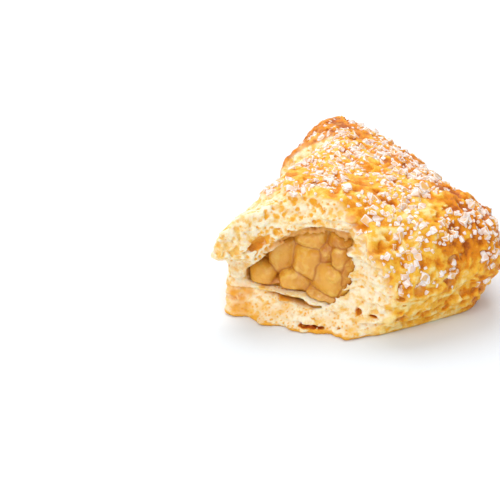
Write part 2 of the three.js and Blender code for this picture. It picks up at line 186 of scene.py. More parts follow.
def skin_lost(x, y, z):
    """Share of the brown baked skin that is gone: in a band round the mouth, wider at the lip, and over
    the shoulder of the fold."""
    s, n = beside_tear(x, y)
    edge = -8.6 - 5 * ramp(20, 30, s) + 5 * (1 - ramp(-6, 5, s))
    band = ramp(-2.5, 2.5, n - edge + 1.8 * noise(s / 4, n / 4, z / 4))
    near_front_edge = ramp(-18.5, -15, s - 0.42 * z + 1.5 * noise(s / 3, n / 3, z / 3))
    uneven = 2.6 * noise(s / 6, n / 6, z / 6) + 1.2 * noise(s / 2.4, n / 2.4, z / 2.4)
    shoulder = ramp(14, 18, z + uneven) * ramp(-60, -50, n + 3 * uneven) * ramp(33, 39, s - 0.1 * n)
    return np.minimum(band, near_front_edge), shoulder


def blisters(x, y, z):
    """Height of the broad blisters that the baked skin rose into."""
    return 1.3 * noise(x / 13, y / 13, z / 13) + 0.7 * noise(x / 5.5, y / 5.5, z / 5.5)


def crust_relief(x, y, z):
    """Blisters of the baked skin, and the layers that show down the two open edges."""
    open_edge = ramp(2, 12, inside_fold(x, y))
    seam = 0.6 * bump(z, 10, 1.1) * (1 + noise(x / 9, y / 9, 4.4))
    groove = 0.7 * bump(z, 2.5, 0.8) * (1 + noise(x / 7, y / 7, 1.7))
    leaves = 0.45 * noise(x / 24, y / 24, z / 1.5) * ramp(1.2, 3, z)
    layers = open_edge * (1 - ramp(18, 26, z)) * (leaves - seam - groove)
    return blisters(x, y, z) * ramp(0.5, 6, z) + layers


def crust_wrinkles(x, y, z):
    """Fine wrinkles and flakes of the baked skin, from about -1 to 1."""
    bend = 0.8 * fine_noise(x / 5, y / 5, z / 5)
    folds = 1 - 2.6 * np.abs(fine_noise(x / 2.6 + bend, y / 3.4 - bend, z / 2.6))
    flakes = ramp(-0.08, 0.08, fine_noise(x / 3.6 + 7, y / 4.4, z / 2.2)) - 0.5
    leaves = fine_noise(x / 12, y / 12, z / 0.75 + 0.15 * fine_noise(x / 4, y / 4, 3.3))
    side = (1 - ramp(16, 22, z)) * ramp(1.2, 3, z) * ramp(2, 12, inside_fold(x, y))
    smooth = 1 - 0.7 * (1 - ramp(3, 14, inside_fold(x, y))) * (1 - ramp(26, 33, z))
    fine = 0.4 * fine_noise(x / 1.4, y / 1.4, z / 1.4)
    return (0.65 * folds + 0.4 * flakes) * smooth + fine + 0.25 * side * leaves


def bubbles(x, y, z, size):
    """Distance from the nearest bubble's middle, over the spacing of the bubbles."""
    place = [v / size for v in (x, y, z)]
    cell = [np.floor(v).astype(np.int64) for v in place]
    nearest = np.full(x.shape, 9.0)
    for i in (-1, 0, 1):
        for j in (-1, 0, 1):
            for k in (-1, 0, 1):
                at = (cell[0] + i, cell[1] + j, cell[2] + k)
                away = 0
                for axis in range(3):
                    shift = DRAWS[(at[0] + 11 * axis) & 31, (at[1] + 5 * axis) & 31, at[2] & 31]
                    away = away + (place[axis] - at[axis] - 0.5 - 0.42 * shift) ** 2
                larger = 0.2 * DRAWS[at[2] & 31, at[0] & 31, at[1] & 31]
                nearest = np.minimum(nearest, np.sqrt(away) - larger)
    return nearest


def crumb_rough(x, y, z):
    """Ragged leaves and bubbles of the torn crumb, from about -1 to 1, and how deep in a bubble each
    place is, from 0 to 1. The lip is a fine foam; the crumb below and beside the mouth is softer."""
    s, _ = beside_tear(x, y)
    soft = np.maximum(1 - ramp(15, 20, z), 0.8 * (1 - ramp(4, 13, s)))
    bend = 0.7 * fine_noise(x / 1.5, y / 1.5, z / 1.5)
    twist = 0.7 * fine_noise(x / 1.5 + 9, y / 1.5 + 4, z / 1.5)
    foam = bubbles(x + bend, y + twist, z - bend, 1.6)
    flat = bubbles(x + 1.4 * bend, y + twist, 1.7 * z + 1.6 * twist, 2.3)
    dent = (1 - soft) * (1 - ramp(0.22, 0.56, foam)) + 0.85 * soft * (1 - ramp(0.02, 0.34, flat))
    lumps = fine_noise(x / 3, y / 3, z / 1.7)
    flakes = 0.45 - 1.6 * np.abs(fine_noise(x / 1.7 + bend, y / 1.7, z / 1.1 + twist))
    return 0.25 + lumps * (0.3 + 0.25 * soft) + 0.55 * flakes - 1.0 * dent, dent


def flank_sunk(x, y, z):
    """How far the crust has sunk in beside the torn corner."""
    s, n = beside_tear(x, y)
    return 2 * ramp(-17, -10, s) * ramp(3, 12, z) * (1 - ramp(3, 9, s)) * ramp(-18, -8, n)


def crumb_lost(x, y, z):
    """How much of the crumb came away with the corner, under the lip's beak."""
    s, n = beside_tear(x, y)
    under_beak = 4.6 * bump(z, 12.5, 5) * ramp(-16, -5, n) * ramp(26, 34, s)
    return under_beak * (1 + 0.3 * noise(s / 3, n / 3, z / 1.6))


def torn_reach(s, z, ragged=True):
    """How far the torn face stands out of the tear's line."""
    across = np.clip(s / TEAR_WIDTH, 0, 1)
    base = 0.4 + 2.6 * np.sin(np.pi * across)
    crumb = base - 0.8 - 0.62 * np.minimum(z, 11) * (1 - 0.7 * ramp(28, 36, s))
    lip = -8.5 + 0.18 * s + 8.8 * ramp(18, 39, s)
    low = crumb + (base - crumb) * (1 - ramp(1.3, 2.1, z))
    notch = 6 * bump(z, 15.5, 2.2) * ramp(26, 36, s)
    lean_back = 0.035 * np.maximum(0, z - 23) ** 2
    reach = low + (lip - low) * ramp(9, 20, z) - notch - lean_back
    reach = reach + (-0.6 + 0.073 * np.minimum(z, 26)) * np.maximum(0, -s)
    if not ragged:
        return reach
    for pitch, depth, seed in ((1.9, 1.5, 1.37), (0.95, 0.8, 2.9)):
        level = (z + 0.8 * noise(s / 9, 3.1, 0.5)) / pitch
        leaf = np.floor(level)
        soft = ramp(0, 0.25, level - leaf)
        here, below = noise(s / 5, leaf * seed, 7.7), noise(s / 5, (leaf - 1) * seed, 7.7)
        reach = reach + depth * (below + (here - below) * soft)
    return reach + 0.7 * noise(s / 1.8, z / 1.4, 2.3)


def mouth_leaf(x, y, z):
    """Distance outside the thin torn leaf of dough that stands out along the bottom of the mouth."""
    s, n = beside_tear(x, y)
    top = 6.9 + 2.2 * ramp(9, 19, s) - 0.4 * ramp(20, 32, s) + 0.5 * fine_noise(s / 2.3, n / 5, 0.4)
    front = -2.6 + 0.9 * ramp(14, 18, s) - ramp(25, 31, s)
    front = front + 0.5 * noise(s / 1.6, 0.5, 8.1) + 0.4 * fine_noise(s / 0.9, 2.5, 1.1)
    ends = np.maximum(6 - s, s - 33.5)
    thick = 0.36 + 0.2 * bump(s, 16, 4) - 0.06 * (n + 2.6) + 0.12 * fine_noise(s / 1.4, n / 1.4, 5.5)
    return np.maximum(np.maximum(np.abs(z - top + thick) - thick, n - front), np.maximum(-5.6 - n, ends))


def pocket_room(x, y, z, gap=0.0):
    """Less than 0 inside the pocket that holds the filling, drawn in on all sides by a gap."""
    rise = np.clip(np.abs(z - POCKET_MIDDLE) / POCKET_HALF, 0, 1)
    out = np.clip(1 - rise**POCKET_POWER, 0, 1) ** (1 / POCKET_POWER)
    inset = DOUGH_THICK + gap + (1 - out) * np.where(z > POCKET_MIDDLE, 11.0, 3.5)
    narrowing = -3.2 + np.maximum(0, z - 13) + 4 * np.maximum(0, 9.2 - z)
    level = np.abs(z - POCKET_MIDDLE) - (POCKET_HALF - gap)
    return np.maximum(inset - inside_outline(x, y, narrowing), level)


def mouth_rim(x, y, z):
    """Share of the soft inner layer that shows round the top of the mouth."""
    return (1 - ramp(-0.6, 0.8, pocket_room(x, y, z - 1.7))) * ramp(19, 23, z)


def hollow_at(x, y, z, centre, half_sizes, tilt):
    """Distance, roughly in millimetres, outside an egg-shaped hollow that faces out of the tear."""
    s, n = beside_tear(x, y)
    cs, cn, cz = centre
    ds, dz = s - cs, z - cz
    a = (ds * math.cos(tilt) + dz * math.sin(tilt)) / half_sizes[0]
    b = (n - cn) / half_sizes[1]
    c = (dz * math.cos(tilt) - ds * math.sin(tilt)) / half_sizes[2]
    return (np.sqrt(a * a + b * b + c * c) - 1) * min(half_sizes)


# Air pockets that the tear opened: middle and half sizes (along the tear, outward, up), tilt, and how
# dark the painted shade inside each is
AIR_POCKETS = [
    ((26.5, 0.6, 23.9), (5.0, 3.6, 1.6), -0.6, 0.55),
    ((22.8, -0.8, 7.25), (7.5, 3.4, 0.7), 0.05, 0.7),
    ((19.8, 1.4, 4.6), (2.2, 2.6, 0.7), -0.5, 0.8),
    ((33.2, 0.0, 5.6), (1.3, 2.2, 1.0), 0.0, 0.6),
    ((-0.8, -4.2, 6.4), (1.3, 2.4, 0.9), 0.3, 0.85),
    ((0.0, -4.4, 12.2), (1.5, 2.2, 0.6), -0.4, 1.0),
    ((-5.2, -3.8, 5.5), (1.7, 2.4, 0.55), 0.1, 1.0),
    ((-12.4, -5.9, 12.3), (1.2, 1.8, 0.5), 0.2, 0.8),
    ((-12.1, -7.6, 5.4), (1.7, 1.8, 0.6), 0.1, 0.8),
    ((11.0, 2.2, 1.6), (4.2, 3.2, 0.6), 0.05, 1.0),
    ((2.6, 1.6, 1.9), (1.4, 3.0, 0.6), 0.2, 1.0),
]


def dough_grid():
    """Field of distances, less than 0 in the pastry, and the same for its crust before it tore. Relief
    is worked out only near the surface."""
    count = np.ceil((DOUGH_END - DOUGH_START) / GRAIN).astype(int)
    x, y, z = (DOUGH_START[axis] + GRAIN * np.arange(count[axis]) for axis in range(3))
    x, y, z = x[:, None, None], y[None, :, None], z[None, None, :]
    whole = np.broadcast_to(whole_dough(x, y, z), tuple(count)).astype(np.float32)
    slope = np.sqrt(sum(g * g for g in np.gradient(whole, GRAIN)))
    whole = np.clip(whole / np.maximum(slope, 0.01), -9, 9)
    s, n = beside_tear(x, y)
    rough = np.maximum(whole, np.maximum(-z, n - torn_reach(s, z, False)))
    rough = np.maximum(rough, -pocket_room(x, y, z))
    near = np.nonzero((np.abs(rough) < RELIEF_REACH) | ((rough < 0) & (n > -18) & (n < 12)))
    px, py, pz = (DOUGH_START[axis] + GRAIN * near[axis] for axis in range(3))
    ps, pn = beside_tear(px, py)
    lip, shoulder = skin_lost(px, py, pz)
    skin = whole[near] - crust_relief(px, py, pz) + flank_sunk(px, py, pz)
    lost = np.maximum(0.9 * lip, 3.2 * shoulder) + crumb_lost(px, py, pz)
    torn = pn - torn_reach(ps, pz) + 0.9 * mouth_rim(px, py, pz)
    body = soft_most(skin + lost, torn * 0.8, 1.2)
    body = np.maximum(body, -pocket_room(px, py, pz))
    close = np.nonzero(np.abs(body) < 1.8)[0]
    cx, cy, cz = px[close], py[close], pz[close]
    bare = np.maximum(ramp(0.2, 1.2, body[close] - skin[close]), np.maximum(lip, shoulder)[close])
    relief = 0.95 * crust_wrinkles(cx, cy, cz) * (1 - bare) + 0.75 * crumb_rough(cx, cy, cz)[0] * bare
    body[close] -= relief * ramp(0.2, 3, cz)
    body = np.maximum(body, -pz)
    for centre, half_sizes, tilt, _ in AIR_POCKETS:
        here = np.nonzero(np.hypot(pn - centre[1], ps - centre[0]) < max(half_sizes) + 2)[0]
        hx, hy, hz = px[here], py[here], pz[here]
        ragged = 0.4 * fine_noise(hx / 1.3, hy / 1.3, hz / 0.9)
        body[here] = np.maximum(body[here], -(hollow_at(hx, hy, hz, centre, half_sizes, tilt) + ragged))
    front = np.nonzero((pn > -10) & (pn < 1) & (pz > 3) & (pz < 14))
    body[front] = np.minimum(body[front], mouth_leaf(px[front], py[front], pz[front]))
    field = np.clip(rough, -FIELD_LIMIT, FIELD_LIMIT).astype(np.float32)
    field[near] = body
    crust = np.full(field.shape, -FIELD_LIMIT, np.float32)
    crust[near] = skin
    return field, crust


def largest_skin(points, quads):
    """Faces of the one big closed surface, without loose scraps or sealed bubbles."""
    label = np.arange(len(points))
    edges = np.concatenate([quads[:, [0, 1]], quads[:, [1, 2]], quads[:, [2, 3]]])
    while True:
        least = np.minimum(label[edges[:, 0]], label[edges[:, 1]])
        before = label.copy()
        np.minimum.at(label, edges[:, 0], least)
        np.minimum.at(label, edges[:, 1], least)
        label = label[label]
        if np.array_equal(label, before):
            break
    best = np.bincount(label).argmax()
    keep = label == best
    renumber = np.cumsum(keep) - 1
    return points[keep], renumber[quads[keep[quads[:, 0]]]]


def mesh_of_field(name, field, start, spacing, most_triangles):
    """Closed mesh in metres, in the part's frame, where the field is 0."""
    grid = openvdb.FloatGrid(background=FIELD_LIMIT)
    grid.copyFromArray(np.ascontiguousarray(field, dtype=np.float32))
    points, quads = grid.convertToQuads(isovalue=0.0)
    points, quads = largest_skin(points.astype(np.float64), quads.astype(np.int64))
    points = start + spacing * points
    corner = points[quads]
    volume = np.einsum("ij,ij->i", corner[:, 0], np.cross(corner[:, 1], corner[:, 2])).sum()
    volume += np.einsum("ij,ij->i", corner[:, 0], np.cross(corner[:, 2], corner[:, 3])).sum()
    if volume < 0:
        quads = quads[:, ::-1]
    points[:, 0] -= FRAME_CENTRE[0]
    points[:, 1] -= FRAME_CENTRE[1]
    mesh = bpy.data.meshes.new(name)
    mesh.from_pydata((points / 1000).tolist(), [], quads.tolist())
    mesh.update()
    piece = bpy.data.objects.new(name, mesh)
    bpy.context.collection.objects.link(piece)
    if 2 * len(quads) > most_triangles:
        fewer = piece.modifiers.new("fewer", "DECIMATE")
        fewer.ratio = most_triangles / (2 * len(quads))
        done = bpy.data.meshes.new_from_object(piece.evaluated_get(bpy.context.evaluated_depsgraph_get()))
        piece.modifiers.remove(fewer)
        piece.data = done
        done.name = name
        bpy.data.meshes.remove(mesh)
    piece.data.shade_smooth()
    return piece


def points_of(piece):
    """Places of a piece's points, in millimetres from the square corner."""
    flat = np.empty(3 * len(piece.data.vertices), np.float32)
    piece.data.vertices.foreach_get("co", flat)
    points = flat.reshape(-1, 3).astype(np.float64) * 1000
    return points[:, 0] + FRAME_CENTRE[0], points[:, 1] + FRAME_CENTRE[1], points[:, 2]


def field_at(field, start, spacing, x, y, z):
    """Value of a grid's field at points, blended between its cells."""
    at = [(v - start[axis]) / spacing for axis, v in enumerate((x, y, z))]
    cell = [np.clip(np.floor(v).astype(int), 0, field.shape[axis] - 2) for axis, v in enumerate(at)]
    part = [at[axis] - cell[axis] for axis in range(3)]
    total = 0
    for i in (0, 1):
        for j in (0, 1):
            for k in (0, 1):
                share = (part[0] if i else 1 - part[0]) * (part[1] if j else 1 - part[1])
                share = share * (part[2] if k else 1 - part[2])
                total = total + share * field[cell[0] + i, cell[1] + j, cell[2] + k]
    return total


def paint(piece, name, red, green, blue):
    """Keeps three shares, from 0 to 1, in a piece's points for its material to read."""
    layer = piece.data.attributes.new(name, "FLOAT_COLOR", "POINT")
    colour = np.stack([*np.broadcast_arrays(red, green, blue), np.ones_like(red)], -1)
    layer.data.foreach_set("color", np.clip(colour, 0, 1).astype(np.float32).ravel())


DOUGH_TRIANGLES = 190000
PALE_PATCH = (-20.4, 8.4)  # a blister of the crust that browned least
PALE_BAND = -30.0  # and a pale band across the crust, to the right of the mouth

dough, crust_skin = dough_grid()
pastry = mesh_of_field("pastry_crust", dough, DOUGH_START, GRAIN, DOUGH_TRIANGLES)
px, py, pz = points_of(pastry)
lip, shoulder = skin_lost(px, py, pz)
s, n = beside_tear(px, py)
below_skin = -field_at(crust_skin, DOUGH_START, GRAIN, px, py, pz)
torn_skin = 1.5 * (1 - ramp(4, 10, s)) * ramp(21, 25, pz)
crumb_share = np.maximum(ramp(0.5, 1.2, below_skin - torn_skin), np.maximum(lip, shoulder))
crumb_share = np.maximum(crumb_share, ramp(26, 32, s) * ramp(-16, -8, n) * ramp(10, 14, pz))
crumb_height, dent = crumb_rough(px, py, pz)
dent = dent * (1 - 0.7 * ramp(26, 34, s))
# Painted shade on the inside of the air pockets, as dark as each pocket's last column, with none on the
# torn face itself or on the leaf.
hollow = np.zeros_like(px)
for centre, half_sizes, tilt, brown_and_shade in AIR_POCKETS:
    inside = 1 - ramp(0.0, 0.5, hollow_at(px, py, pz, centre, half_sizes, tilt))
    hollow = np.maximum(hollow, brown_and_shade * inside)
hollow = hollow * ramp(0.2, 1.6, torn_reach(s, pz) - n) * ramp(0.1, 0.5, mouth_leaf(px, py, pz))
crumb_share = np.maximum(crumb_share, ramp(0.1, 0.5, hollow))
behind_tear = torn_reach(s, pz) - n
moist = (1 - ramp(0.3, 2.0, pocket_room(px, py, pz))) * crumb_share * ramp(0.6, 2.6, behind_tear)
moist = np.maximum(moist, mouth_rim(px, py, pz) * crumb_share) * ramp(0.2, 0.9, mouth_leaf(px, py, pz))
foot = (1 - ramp(7, 11, pz)) * ramp(27, 34, s)
pale_flank = 0.35 * (1 - ramp(2, 6, s)) * ramp(6, 12, pz)
patches = noise(px / 4.2, py / 4.2, pz / 2.6) + 0.3 * (1 - ramp(2, 12, pz))
patches = ramp(0.0, 0.6, patches - pale_flank)
sheet = (1 - ramp(0.5, 1.3, pz + 0.8 * noise(px / 2.6, py / 2.6, 6.1))) * crumb_share
sheet = np.maximum(sheet, foot * (0.62 + 0.45 * noise(px / 2.2, py / 2.2, pz / 1.6)))
# How brown the crust is. The far corner is browner and is also darkened there as painted shade, and the
# right end is darkened as painted shade.
apex = ramp(50, 96, py)
right_end_shade = ramp(-34, -4, px) * ramp(8, 22, pz)
pale_wall = (1 - ramp(8, 24, pz)) * (1 - 0.8 * ramp(-30, 0, px))
near_tear = ramp(-34, -14, n + 0.35 * (s - 17))
browning_and_shade = 0.56 + 0.14 * blisters(px, py, pz) + 0.95 * np.maximum(apex, 0.5 * right_end_shade)
browning_and_shade = browning_and_shade - 0.12 * pale_wall - 0.14 * near_tear
browning_and_shade = browning_and_shade - 0.65 * bump(np.hypot(px - PALE_PATCH[0], py - PALE_PATCH[1]), 0.0, 6.0)
browning_and_shade = browning_and_shade - 0.15 * bump(px, PALE_BAND, 9.0) * ramp(20, 28, pz)
# Browner over the top; the second term is painted shade, darkening the low walls at the right end.
browning_and_shade = browning_and_shade + 0.12 * ramp(24, 31, pz) + 0.25 * ramp(-20, -8, px) * (1 - ramp(8, 18, pz))
texture = crust_wrinkles(px, py, pz) * (1 - crumb_share) + crumb_height * crumb_share
# Second share: the larger of the painted shade in the crumb's bubbles and golden patches of crumb. Third
# share: the crust's browning with painted shade.
paint(pastry, "crumb_dent_brown", crumb_share, np.maximum(dent, 0.55 * patches), browning_and_shade)
# Second share: the larger of the painted shade in the air pockets and the golden base sheet of the crumb.
paint(pastry, "raised_hollow_moist", 0.5 + 0.45 * texture, np.maximum(hollow, 0.6 * sheet), moist)


def srgb(red, green, blue):
    """Linear colour from the usual 0 to 255 values."""
    line = [v / 255 for v in (red, green, blue)]
    return tuple(v / 12.92 if v <= 0.04045 else ((v + 0.055) / 1.055) ** 2.4 for v in line) + (1.0,)


class Finish:
    """Short hand for building one material out of nodes. Sizes are in millimetres."""

    def __init__(self, name):
        self.material = bpy.data.materials.new(name)
        self.material.use_nodes = True
        self.tree = self.material.node_tree
        self.shader = self.tree.nodes["Principled BSDF"]
        self.place = self.tree.nodes.new("ShaderNodeTexCoord").outputs["Object"]

    def put(self, socket, value):
        if isinstance(value, bpy.types.NodeSocket):
            self.tree.links.new(value, socket)
        else:
            socket.default_value = value

    def grain(self, size, detail, rough, twist=0.0):
        node = self.tree.nodes.new("ShaderNodeTexNoise")
        self.put(node.inputs["Vector"], self.place)
        node.inputs["Scale"].default_value = 1000 / size
        node.inputs["Detail"].default_value = detail
        node.inputs["Roughness"].default_value = rough
        node.inputs["Distortion"].default_value = twist
        return node.outputs["Fac"]

    def cells(self, size):
        node = self.tree.nodes.new("ShaderNodeTexVoronoi")
        self.put(node.inputs["Vector"], self.place)
        node.inputs["Scale"].default_value = 1000 / size
        return node.outputs["Distance"]

    def between(self, value, low, high, to_low=0.0, to_high=1.0):
        node = self.tree.nodes.new("ShaderNodeMapRange")
        node.interpolation_type = "SMOOTHSTEP"
        self.put(node.inputs["Value"], value)
        names = ("From Min", "From Max", "To Min", "To Max")
        for name, number in zip(names, (low, high, to_low, to_high)):
            self.put(node.inputs[name], number)
        return node.outputs["Result"]

    def reckon(self, how, first, second):
        node = self.tree.nodes.new("ShaderNodeMath")
        node.operation = how
        self.put(node.inputs[0], first)
        self.put(node.inputs[1], second)
        return node.outputs[0]

    def plus(self, first, second):
        return self.reckon("ADD", first, second)

    def minus(self, first, second):
        return self.reckon("SUBTRACT", first, second)

    def times(self, first, second):
        return self.reckon("MULTIPLY", first, second)

    def mix(self, share, first, second):
        node = self.tree.nodes.new("ShaderNodeMix")
        node.data_type = "RGBA"
        self.put(node.inputs["Factor"], share)
        self.put(node.inputs["A"], first)
        self.put(node.inputs["B"], second)
        return node.outputs["Result"]

    def painted(self, name):
        node = self.tree.nodes.new("ShaderNodeAttribute")
        node.attribute_name = name
        split = self.tree.nodes.new("ShaderNodeSeparateColor")
        self.put(split.inputs["Color"], node.outputs["Color"])
        return split.outputs["Red"], split.outputs["Green"], split.outputs["Blue"]

    def share(self, name):
        node = self.tree.nodes.new("ShaderNodeAttribute")
        node.attribute_name = name
        return node.outputs["Fac"]

    def relief(self, height, depth):
        node = self.tree.nodes.new("ShaderNodeBump")
        node.inputs["Distance"].default_value = depth / 1000
        self.put(node.inputs["Height"], height)
        self.tree.links.new(node.outputs["Normal"], self.shader.inputs["Normal"])

    def set(self, **sockets):
        for name, value in sockets.items():
            self.put(self.shader.inputs[name.replace("_", " ")], value)


baked = Finish("baked_puff_pastry")
# Shares painted on the dough: crumb, painted shade in the crumb's bubbles with golden patches, and the
# crust's browning with painted shade in it.
crumb, dent, brown_and_shade = baked.painted("crumb_dent_brown")
raised_part, hollow, moist = baked.painted("raised_hollow_moist")
mottle = baked.times(baked.minus(baked.grain(6.0, 3.0, 0.6, twist=0.6), 0.5), 1.5)
speck = baked.times(baked.minus(baked.grain(1.3, 3.0, 0.65), 0.5), 1.4)
folds = baked.times(baked.minus(0.55, raised_part), 1.5)
# Browning of the crust, which also carries the painted shade of the far corner and the right end.
baking_and_shade = baked.plus(baked.plus(brown_and_shade, mottle), baked.plus(speck, folds))
pale_gold = srgb(252, 222, 150)
gold = srgb(246, 186, 56)
golden_brown = srgb(228, 138, 5)
dark_brown = srgb(180, 90, 8)
golden = baked.mix(baked.between(baking_and_shade, -0.2, 0.3), pale_gold, gold)
golden = baked.mix(baked.between(baking_and_shade, 0.3, 0.8), golden, golden_brown)
golden = baked.mix(baked.between(baking_and_shade, 0.8, 1.4), golden, dark_brown)

crumb_tone = baked.plus(baked.grain(2.6, 5.0, 0.7), baked.times(raised_part, 0.5))
butter_yellow = srgb(246, 200, 108)
cream_white = srgb(254, 240, 212)
cream = baked.mix(baked.between(crumb_tone, 0.55, 0.92), butter_yellow, cream_white)
# Painted shade in the crumb's bubbles, from their depth and from small cells, with specks and golden
# patches added.
small = baked.between(baked.cells(1.15), 0.05, 0.5, 0.5, 0.0)
pore_shade_and_patches = baked.plus(dent, baked.plus(small, baked.times(speck, 0.5)))
pore_shade_gold = srgb(244, 176, 48)
soaked_crumb = srgb(216, 152, 66)
hollow_shade_and_sheet_gold = srgb(240, 170, 56)
deep_hollow_shade = srgb(186, 84, 14)
cream = baked.mix(baked.between(pore_shade_and_patches, 0.3, 1.15), cream, pore_shade_gold)
cream = baked.mix(baked.times(moist, 0.9), cream, soaked_crumb)
# Painted shade in the air pockets: golden at their rims, dark brown deep in. The rim colour also tints the
# base sheet of the crumb.
cream = baked.mix(baked.between(hollow, 0.05, 0.6), cream, hollow_shade_and_sheet_gold)
cream = baked.mix(baked.between(hollow, 0.6, 1.0), cream, deep_hollow_shade)
CRUST_ROUGHNESS = 0.38
CRUMB_ROUGHNESS = 0.75
baked.set(
    Base_Color=baked.mix(crumb, golden, cream),
    Roughness=baked.mix(crumb, (CRUST_ROUGHNESS,) * 3 + (1,), (CRUMB_ROUGHNESS,) * 3 + (1,)),
    Specular_IOR_Level=0.22,
    Subsurface_Weight=0.35,
    Subsurface_Radius=(1.0, 0.66, 0.3),
    Subsurface_Scale=0.0014,
)
baked.relief(baked.minus(baked.grain(0.7, 4.0, 0.7), baked.times(small, crumb)), 0.25)
pastry.data.materials.append(baked.material)
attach(pastry, "root")
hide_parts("pastry")

# Coarse sugar: angular crystals of 1 to 3 mm, strewn on the washed dough before baking, so that they
# are set in the crust. They thin out down the open edges and towards the far corner, and none are on
# the torn crumb, the fold's side or the base.
CRYSTAL_HALF = 0.46  # half the width of a crystal that is a millimetre across
CRYSTAL_SKEW = 0.1  # how far its corners are pushed out of true
CRYSTAL_CHIP = (0.25, 0.5)  # how much of an edge a broken corner takes
CRYSTAL_WEAR = 0.09  # width of its worn edges
CRYSTAL_SUNK = 0.18  # how far its middle is under the skin
CRYSTAL_KINDS = 8
BARE_PATCHES = ((-20.2, 8.7, 4.5), (-39.0, 5.0, 3.5), (-24.0, 6.0, 3.5))  # place and size


def sugar_crystal(seed):
    """One crystal, a millimetre across: a box pushed out of true, with a corner or two broken off and
    its edges worn. Each face keeps its own share of the tint that shows through it."""
    draw = random.Random(seed)
    form = bmesh.new()
    broken = draw.sample(range(8), 1 + seed % 2)
    for corner in range(8):
        signs = [1 if corner >> axis & 1 else -1 for axis in range(3)]
        place = Vector([CRYSTAL_HALF * sign + draw.uniform(-CRYSTAL_SKEW, CRYSTAL_SKEW) for sign in signs])
        place -= Vector((0, 0, CRYSTAL_SUNK))
        if corner not in broken:
            form.verts.new(place)
            continue
        for axis in range(3):
            cut = place.copy()
            cut[axis] -= signs[axis] * draw.uniform(*CRYSTAL_CHIP)
            form.verts.new(cut)
    bmesh.ops.convex_hull(form, input=form.verts)
    nearly_flat = math.radians(9)
    bmesh.ops.dissolve_limit(form, angle_limit=nearly_flat, verts=form.verts, edges=form.edges)
    tint_of = form.faces.layers.float.new("tint")
    for face in form.faces:
        face[tint_of] = draw.random()
    worn = bmesh.ops.bevel(form, geom=form.edges[:], offset=CRYSTAL_WEAR, affect="EDGES", segments=1)
    for face in worn["faces"]:
        face[tint_of] = 0.0
    bmesh.ops.recalc_face_normals(form, faces=form.faces)
    mesh = bpy.data.meshes.new(f"sugar_crystal_{seed}")
    form.to_mesh(mesh)
    form.free()
    grain = bpy.data.objects.new(mesh.name, mesh)
    bpy.context.collection.objects.link(grain)
    return grain


sugar = Finish("coarse_sugar")
cloudy = sugar.between(sugar.grain(2.2, 2.0, 0.5), 0.38, 0.62, -0.25, 0.25)
seen_through = sugar.plus(sugar.share("tint"), cloudy)
frosty_white = srgb(250, 238, 232)
rosy_white = srgb(240, 210, 194)
crust_through_sugar = srgb(238, 184, 108)
sugar_tone = sugar.mix(sugar.between(seen_through, 0.0, 0.35), frosty_white, rosy_white)
sugar_tone = sugar.mix(sugar.between(seen_through, 0.35, 0.85), sugar_tone, crust_through_sugar)
sugar.set(
    Base_Color=sugar_tone,
    Roughness=0.15,
    IOR=1.5,
    Subsurface_Weight=0.3,
    Subsurface_Radius=(1.0, 0.8, 0.7),
    Subsurface_Scale=0.001,
    Coat_Weight=0.3,
    Coat_Roughness=0.1,
)
sugar.relief(sugar.grain(0.5, 2.0, 0.6), 0.05)

hold = ramp(-0.2, 0.35, noise(px / 7 + 3, py / 7, pz / 7) + 0.35) * (1 - 0.75 * ramp(52, 88, py))
for bare_x, bare_y, bare_size in BARE_PATCHES:
    hold = hold * ramp(0.55, 1.2, np.hypot(px - bare_x, py - bare_y) / bare_size)
up_the_wall = ramp(4, 8, pz) * (0.2 + 0.8 * ramp(9, 23, pz))
sugar_room = (1 - ramp(0.2, 0.6, crumb_share)) * up_the_wall * hold
far_side = ramp(3, 9, inside_fold(px, py))
paint(pastry, "sugar_room", sugar_room * far_side, sugar_room, sugar_room)

strewing = bpy.data.node_groups.new("sugar_strewing", "GeometryNodeTree")
for name, kind, default in (
    ("Crust", "NodeSocketGeometry", None),
    ("Grains per square metre", "NodeSocketFloat", 900000.0),
    ("Least gap", "NodeSocketFloat", 0.00128),
    ("Smallest grain", "NodeSocketFloat", 0.001),
    ("Largest grain", "NodeSocketFloat", 0.003),
    ("Seed", "NodeSocketInt", 3),
    ("Finish", "NodeSocketMaterial", None),
):
    socket = strewing.interface.new_socket(name, in_out="INPUT", socket_type=kind)
    if default is not None:
        socket.default_value = default
strewing.interface.new_socket("Grains", in_out="OUTPUT", socket_type="NodeSocketGeometry")
given = strewing.nodes.new("NodeGroupInput")
result = strewing.nodes.new("NodeGroupOutput")

room = strewing.nodes.new("GeometryNodeInputNamedAttribute")
room.data_type = "FLOAT_COLOR"
room.inputs["Name"].default_value = "sugar_room"
share = strewing.nodes.new("FunctionNodeSeparateColor")
strewing.links.new(room.outputs["Attribute"], share.inputs["Color"])
spots = strewing.nodes.new("GeometryNodeDistributePointsOnFaces")
spots.distribute_method = "POISSON"
strewing.links.new(given.outputs["Crust"], spots.inputs["Mesh"])
strewing.links.new(given.outputs["Least gap"], spots.inputs["Distance Min"])
strewing.links.new(given.outputs["Grains per square metre"], spots.inputs["Density Max"])
strewing.links.new(share.outputs["Red"], spots.inputs["Density Factor"])
strewing.links.new(given.outputs["Seed"], spots.inputs["Seed"])
kinds = strewing.nodes.new("GeometryNodeJoinGeometry")
grains = [sugar_crystal(seed) for seed in range(CRYSTAL_KINDS)]
for grain in reversed(grains):
    shape = strewing.nodes.new("GeometryNodeObjectInfo")
    shape.inputs["Object"].default_value = grain
    shape.inputs["As Instance"].default_value = True
    strewing.links.new(shape.outputs["Geometry"], kinds.inputs["Geometry"])
turn = strewing.nodes.new("FunctionNodeRandomValue")
turn.data_type = "FLOAT_VECTOR"
turn.inputs["Min"].default_value = (-0.5, -0.5, 0.0)
turn.inputs["Max"].default_value = (0.5, 0.5, math.tau)
lying = strewing.nodes.new("FunctionNodeRotateRotation")
